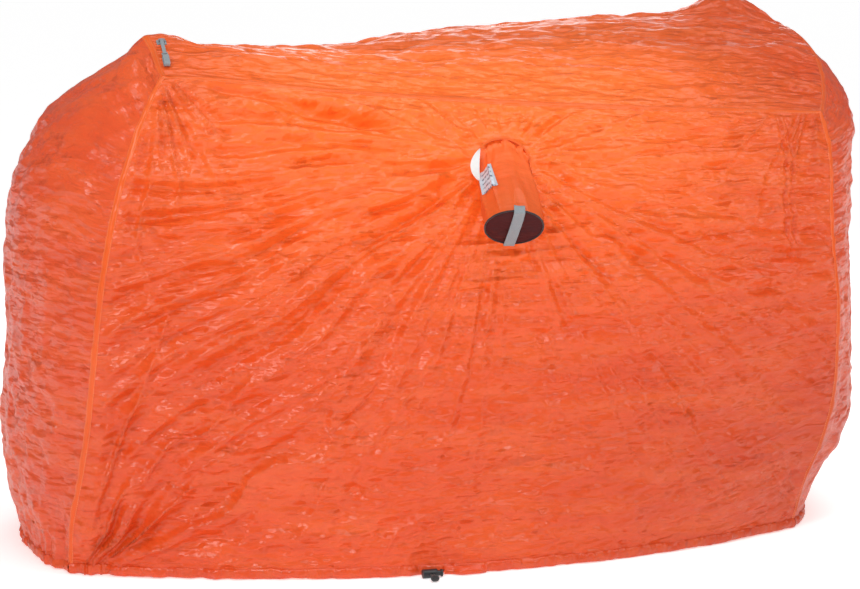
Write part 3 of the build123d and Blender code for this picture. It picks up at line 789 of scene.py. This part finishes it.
def strip(name, rows, node):
    """Seam tape over five rows of points that run along a seam."""
    c = np.stack(rows, 0)
    n = normals(c.transpose(1, 0, 2)).transpose(1, 0, 2)
    flip = np.sign(((c - SHELTER_CENTRE) * n).sum(-1).mean())
    n = n * flip
    width = np.concatenate([[0], np.cumsum(np.linalg.norm(np.diff(c, axis=0), axis=2).mean(1))])
    width = width - width[-1] / 2
    along = np.concatenate([[0], np.cumsum(np.linalg.norm(np.diff(c[2], axis=0), axis=1))])
    rib = 0.0004 * noise(np.stack([along / 0.011] * len(rows)), width[:, None] * 90 + 0 * along, 77)
    edge = np.array([0.15, 1.0, 1.25, 1.0, 0.15])[:, None] * TAPE_LIFT
    c = c + n * (edge + rib)[..., None]
    uv = np.stack([np.broadcast_to(along, c.shape[:2]), np.broadcast_to(width[:, None], c.shape[:2])], -1)
    if flip > 0:
        c, uv = c[::-1], uv[::-1]
    o = grid_mesh(name, c, uv)
    finish_piece(o, M["tape"], "shelter", node)


def build_seams():
    corners = ("front_left", "front_right", "rear_right", "rear_left")
    for k in range(4):
        before, after = WALL[(k + 3) % 4], WALL[k]
        rows = [resampled(before["g"][:, i], before["v"], after["v"]) for i in (-3, -2)]
        rows += [after["g"][:, i] for i in range(3)]
        strip(f"{corners[k]}_seam_cloth", rows, f"{corners[k]}_corner_seam")
    inner = {0: ROOF[1:3], 1: (ROOF[:, -2], ROOF[:, -3]),
             2: (ROOF[-2, ::-1], ROOF[-3, ::-1]), 3: (ROOF[::-1, 1], ROOF[::-1, 2])}
    for k in range(4):
        near, far = inner[k]
        even = np.linspace(0, 1, len(near))
        rows = [resampled(row, np.linspace(0, 1, len(row)), even) for row in WALL[k]["g"][-3:]]
        strip(f"{SIDE_NAMES[k]}_roof_seam_cloth", [*rows, near, far], f"{SIDE_NAMES[k]}_roof_seam")


build_seams()


# ---------------------------------------------------------------- hem casing
HEM_SIDES = 14
HEM_DEPTH, HEM_HEIGHT = 0.0048, 0.0088   # half sizes of the tube
HEM_MIDDLE = 0.0100


def build_hem():
    """The gathered hem, a soft tube along the bottom of each wall."""
    for k in range(4):
        line, out = WALL[k]["g"][0], WALL[k]["n"][0].copy()
        out[:, 2] = 0
        out /= np.linalg.norm(out, axis=1, keepdims=True)
        s = np.concatenate([[0], np.cumsum(np.linalg.norm(np.diff(line, axis=0), axis=1))])
        fine = np.linspace(0, s[-1], len(line) * 2)
        line, out = resampled(line, s, fine), resampled(out, s, fine)
        by_lock = near_lock(line[:, 0], k)
        tuck = 0.0008 + 0.0010 * by_lock
        amount = (1.0 + 110 * gather(line[:, 0], line[:, 1])) * (1 - by_lock)
        amount = amount * step(fine, 0, 0.02) * step(fine[-1] - fine, 0, 0.02)
        rings = []
        for j in range(HEM_SIDES):
            a = 2 * math.pi * j / HEM_SIDES
            ruffle = noise(fine / 0.017 + 4 * k, 0 * fine + j * 0.35, 500)
            ruffle = ruffle + 0.6 * noise(fine / 0.008, 0 * fine + j * 0.5, 510)
            wobble = 0.0016 * ruffle * amount
            p = line + out * (HEM_DEPTH * math.cos(a) - tuck + wobble)[:, None]
            uneven = 1 + 0.10 * noise(fine / 0.05, 0 * fine + 3, 520)
            p[:, 2] = HEM_MIDDLE + HEM_HEIGHT * math.sin(a) * uneven + 0.3 * np.abs(wobble)
            rings.append(p)
        c = np.stack(rings, 0)
        c[..., 2] = np.clip(c[..., 2], 0.0004, None)
        c = c.transpose(1, 0, 2)[:, ::-1]
        around = np.linspace(0, 0.045, HEM_SIDES)
        uv = np.stack([np.broadcast_to(around, c.shape[:2]), np.broadcast_to(fine[:, None], c.shape[:2])], -1)
        o = grid_mesh(f"{SIDE_NAMES[k]}_hem_cloth", c, uv, closed=True)
        finish_piece(o, M["hem"], "shelter", f"{SIDE_NAMES[k]}_hem_casing")


build_hem()


# ---------------------------------------------------------------- stuff sack
# The mouth lies along SX and UP, and OUT points away from the wall.
# The base lies along BX and FRONT, and DOWN points out of it.
UP = np.array([0, 0.4263, 0.9046])
OUT = np.array([0, -0.9046, 0.4263])
MOUTH = np.array([0.040, -0.2312, 0.671]) + OUT * 0.005
MOUTH_RADII = (0.0410, 0.0305)
BASE = np.array([0.031, -0.3290, 0.573])
BASE_RADIUS = 0.0460
YAW, TILT = math.radians(-12), math.radians(41)
AHEAD = np.array([math.sin(YAW), -math.cos(YAW), 0])
FRONT = AHEAD * math.cos(TILT) + np.array([0, 0, math.sin(TILT)])
DOWN = AHEAD * math.sin(TILT) - np.array([0, 0, math.cos(TILT)])
SX = np.array([1.0, 0, 0])
BX = np.array([math.cos(YAW), math.sin(YAW), 0])


def sack_surface(th, t, lift=0.0):
    """Points and normals of the sack at angle th (pi/2 is its front) and share t from mouth to base."""
    c, s, q = np.cos(th)[..., None], np.sin(th)[..., None], t[..., None]
    mouth = MOUTH + SX * MOUTH_RADII[0] * c + UP * (MOUTH_RADII[1] * s - 0.0028)
    base = BASE + (BX * BASE_RADIUS * c + FRONT * BASE_RADIUS * s)
    n = (1 - q) * (SX * c + UP * s + OUT * 0.55 * np.clip(s, 0, 1)) + q * (BX * c + FRONT * s)
    n = n / np.linalg.norm(n, axis=-1, keepdims=True)
    belly = 0.0030 * np.sin(np.pi * np.clip(t, 0, 1))
    folds = 0.0034 * (noise(th * 3.1 + 0.8 * noise(t * 2.2, th * 0 + 2, 601), t * 1.3, 602)) * (1 - 0.75 * t)
    ridge = (1 - np.abs(noise(th * 1.9 + 0.5 * t, t * 0.8 + 5, 611))) ** 3 - 0.3
    sharp = 0.0042 * ridge * np.sin(np.pi * np.clip(t, 0.04, 1)) ** 0.6
    ruff = 0.0042 * noise(th * 5.5, t * 5 + 3, 621) * np.exp(-t / 0.10)
    lip = 0.0035 * np.exp(-((t - 0.012) / 0.02) ** 2)
    return mouth + (base - mouth) * q + n * (belly + folds + sharp + ruff + lip + lift)[..., None], n


def on_base(x, y, h):
    """Points at x, y on the sack's base and h out of it."""
    return BASE + BX * x[..., None] + FRONT * y[..., None] + DOWN * h[..., None]


def build_sack():
    """The gathered tube of the sack. It bends where it leaves the wall."""
    rows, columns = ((120, 260))
    th, t = np.meshgrid(np.linspace(0, 2 * math.pi, columns, endpoint=False), np.linspace(-0.03, 1.0, rows))
    g, _ = sack_surface(th, t)
    one_turn_back, _ = sack_surface(th - 2 * math.pi, t)
    w = step(th, 2 * math.pi - 0.5, 2 * math.pi)[..., None]
    g = g * (1 - w) + one_turn_back * w
    o = grid_mesh("sack_cloth", g, np.stack([th * 0.046, t * 0.16], -1), closed=True)
    o.data.materials.append(M["sack"])
    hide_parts("sack_body", "sack_mouth_binding")
    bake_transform(o)


def build_base_cloth(around):
    """Round base of dark cloth, slightly domed and creased."""
    shares = np.concatenate([np.linspace(0.0, 0.96, 26), [1.0]])
    r, a = np.meshgrid(shares, around, indexing="ij")
    x, y = r * np.cos(a) * BASE_RADIUS, r * np.sin(a) * BASE_RADIUS
    h = 0.0052 * crease(x, y, 0.07, 0.020, 12, 701) + 0.0026 * crease(x, y, 0.04, 0.012, -35, 711) + 0.0022
    h = (h * (1 - r ** 4) + 0.0020 * (1 - r ** 2)) + 0.0004
    g, uv = on_base(x, y, h), np.stack([x, y], -1)
    o = grid_mesh("sack_base_cloth", g[:, ::-1], uv[:, ::-1], closed=True)
    finish_piece(o, M["maroon"], "stuff_sack", "sack_base")


def build_base_piping(around):
    """Thin round binding on the base's edge."""
    b, a = np.meshgrid(np.linspace(0, 2 * math.pi, 10, endpoint=False), around, indexing="ij")
    ring = 0.0472 + 0.0013 * np.cos(b) + 0.0003 * noise(a * 9, b * 0 + 2, 721)
    g = BASE + (BX * np.cos(a)[..., None] + FRONT * np.sin(a)[..., None]) * ring[..., None]
    g = g + DOWN * (0.0005 + 0.0014 * np.sin(b))[..., None]
    uv = np.stack([a, b], -1)
    g, uv = np.concatenate([g, g[:1]], 0), np.concatenate([uv, uv[:1]], 0)
    o = grid_mesh("sack_base_piping_cord", g, uv, closed=True)
    finish_piece(o, M["piping"], "stuff_sack", "sack_base_piping")


def patch(name, key, angles, span, node, lift=0.0010, skew=0.0):
    """Cloth patch on the sack between two angles and two shares of its length."""
    u, v = np.meshgrid(np.linspace(0, 1, 24), np.linspace(0, 1, 34))
    th = angles[0] + (angles[1] - angles[0]) * u + skew * v
    g, n = sack_surface(th, span[0] + (span[1] - span[0]) * v, lift)
    loose_edge = 0.0048 * np.clip(u - 0.82, 0, 1)
    g = g + n * (loose_edge + 0.0005 * noise(u * 3, v * 4, 733))[..., None]
    o = grid_mesh(name, g[::-1], np.stack([u, v], -1)[::-1])
    finish_piece(o, M[key], "stuff_sack", node)


def build_care_label():
    """White folded tag sewn into the mouth's left side."""
    u, v = np.meshgrid(np.linspace(0, 1, 14), np.linspace(0, 1, 40))
    x = -0.0245 + 0.014 * u + 0.010 * (2 * v - 1) ** 2 * (1 - 0.25 * u)
    z = 0.640 + 0.052 * v
    x = x + 0.007 * v ** 2
    y = -0.2250 - (0.715 - z) * 0.47 - 0.0045 - 0.0075 * np.sin(np.pi * v) - 0.004 * u
    width = np.sin(np.pi * np.clip(v * 0.96 + 0.02, 0, 1)) ** 0.6
    x = x + (1 - width) * (0.5 - u) * 0.015
    o = grid_mesh("care_label_cloth", np.stack([x, y, z], -1), np.stack([u, v], -1))
    finish_piece(o, M["care"], "shelter", "care_label")


HANDLE_REACH, HANDLE_HALF_WIDTH = 0.0488, 0.0088
HANDLE_SLANT = math.radians(-4)


def build_handle():
    """Grey webbing across the base, sewn down at both ends."""
    v, u = np.meshgrid(np.linspace(-1, 1, 90), np.linspace(-1, 1, 12), indexing="ij")
    inner = np.clip(np.abs(v) / 0.90, 0, 1)
    turn = np.clip((np.abs(v) - 0.90) / 0.10, 0, 1)
    y = np.sign(v) * (HANDLE_REACH * inner + 0.0006 * np.sin(turn * math.pi / 2))
    h = 0.0046 + 0.0030 * (1 - inner ** 2) - 0.0125 * turn ** 1.4 + 0.0007 * noise(v * 3, u * 0.7, 801)
    h = h - 0.0004 * u ** 4
    x = u * HANDLE_HALF_WIDTH + 0.0025 * np.sin(v * 1.6)
    c, s = math.cos(HANDLE_SLANT), math.sin(HANDLE_SLANT)
    g = on_base(x * c - y * s, x * s + y * c, h)
    o = grid_mesh("sack_handle_webbing", g, np.stack([u * 0.009, v * 0.049], -1))
    mod = o.modifiers.new("thick", "SOLIDIFY")
    mod.thickness, mod.offset = 0.0013, 0.0
    finish_piece(o, M["webbing"], "stuff_sack", "sack_handle")


AROUND_BASE = np.linspace(0, 2 * math.pi, 96, endpoint=False)
build_sack()
build_base_cloth(AROUND_BASE)
build_base_piping(AROUND_BASE)
patch("sack_label_cloth", "label", (math.pi * 0.935, math.pi * 0.690), (0.27, 0.62), "sack_label",
      skew=-0.16)
patch("sack_side_seam_cloth", "sack", (-0.08, 0.10), (0.03, 0.99), "sack_side_seam", lift=0.0008)
build_care_label()
build_handle()


# ---------------------------------------------------------------- flap at the drawcord exit
FLAP_START, FLAP_LENGTH = -0.078, 0.070


def build_flap():
    """Rolled flap of hem cloth beside the cord lock."""
    u, v = np.meshgrid(np.linspace(0, 1, 60), np.linspace(0, 1, 24))
    x = FLAP_START + FLAP_LENGTH * u
    hem = WALL[0]["g"][0]
    roll = np.sin(np.pi * v) * (0.0085 + 0.002 * noise(u * 6, v * 2, 811))
    roll = roll * np.sin(np.pi * np.clip(u, 0.03, 0.97)) ** 0.5
    y = np.interp(x, hem[:, 0], hem[:, 1]) - 0.0042 - roll
    z = 0.0155 - 0.0148 * v + 0.0012 * noise(u * 5, v, 821) * (1 - v)
    g = np.stack([x, y, np.clip(z, 0.0005, None)], -1)
    o = grid_mesh("hem_flap_cloth", g[::-1], np.stack([u * 0.07, v * 0.02], -1)[::-1])
    finish_piece(o, M["hem"], "shelter", "hem_exit_flap")


build_flap()


# ---------------------------------------------------------------- CAD pieces that show as they are
CAD_MATERIALS = {
    "tape": ("sack_port_binding",),
    "cord": ("hem_drawcord", "hem_drawcord_knot"),
    "eyelet": ("hem_exit_eyelets",),
    "plastic": ("hem_lock_body", "hem_lock_plunger"),
    "steel": ("hem_lock_spring",),
    "webbing": ("left_pole_anchor", "left_pole_tape", "left_pole_tab",
                "right_pole_anchor", "right_pole_tape", "right_pole_tab"),
}
for key, names in CAD_MATERIALS.items():
    for name in names:
        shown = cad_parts[name]
        shown.data.materials.clear()
        shown.data.materials.append(M[key])

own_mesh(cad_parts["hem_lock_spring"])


# ---------------------------------------------------------------- stage and light
def build_stage():
    """White paper floor under an even white sky."""
    me = bpy.data.meshes.new("floor")
    me.from_pydata([(-40, -12, 0), (60, -12, 0), (60, 120, 0), (-40, 120, 0)], [], [(0, 1, 2, 3)])
    floor = bpy.data.objects.new("floor", me)
    bpy.context.collection.objects.link(floor)
    t = Nodes("floor_white")
    mottle = soft_noise(t, t.add("TexCoord").outputs["Object"], 3.0, 4.0)
    col = t.mix(mottle, (0.93, 0.93, 0.93, 1), (0.90, 0.90, 0.905, 1))
    paper = t.add("BsdfPrincipled", {"Base Color": col, "Roughness": 0.7}).outputs[0]
    glow = t.add("Emission", {"Color": (1, 1, 1, 1), "Strength": 0.42}).outputs[0]
    me.materials.append(t.done(t.add("AddShader", {0: paper, 1: glow}).outputs[0]))
    world = bpy.data.worlds.new("studio")
    world.use_nodes = True
    bg = world.node_tree.nodes["Background"]
    bg.inputs[0].default_value, bg.inputs[1].default_value = (1, 0.995, 0.99, 1), 0.26
    bpy.context.scene.world = world


def add_light(data, where, at):
    o = bpy.data.objects.new(data.name, data)
    bpy.context.collection.objects.link(o)
    o.matrix_world = placed(where, at)


def softbox(name, where, at, size, watts, colour=(1, 1, 1)):
    data = bpy.data.lights.new(name, "AREA")
    data.shape, data.size, data.size_y, data.energy, data.color = "RECTANGLE", size[0], size[1], watts, colour
    add_light(data, where, at)


def overhead(strength, spread):
    """Even light from above, from a wide angle."""
    data = bpy.data.lights.new("overhead", "SUN")
    data.energy, data.angle = strength, math.radians(spread)
    add_light(data, (0.5, -0.9, 3.0), (0, 0, 0))


build_stage()
softbox("key", (-2.3, -2.6, 2.5), (0.1, -0.1, 0.4), (1.2, 1.2), 54)
softbox("side", (2.6, -2.4, 1.9), (0.2, 0, 0.4), (0.6, 1.2), 19)
softbox("rear", (1.2, 3.2, 1.7), (0, 0, 0.5), (2.0, 1.4), 30)
softbox("inside", (0.0, 0.06, 0.70), (0.0, -0.30, 0.62), (0.8, 0.10), 1.8, (1.0, 0.72, 0.45))
overhead(1.35, 50)
bpy.context.scene.view_settings.view_transform = "Standard"
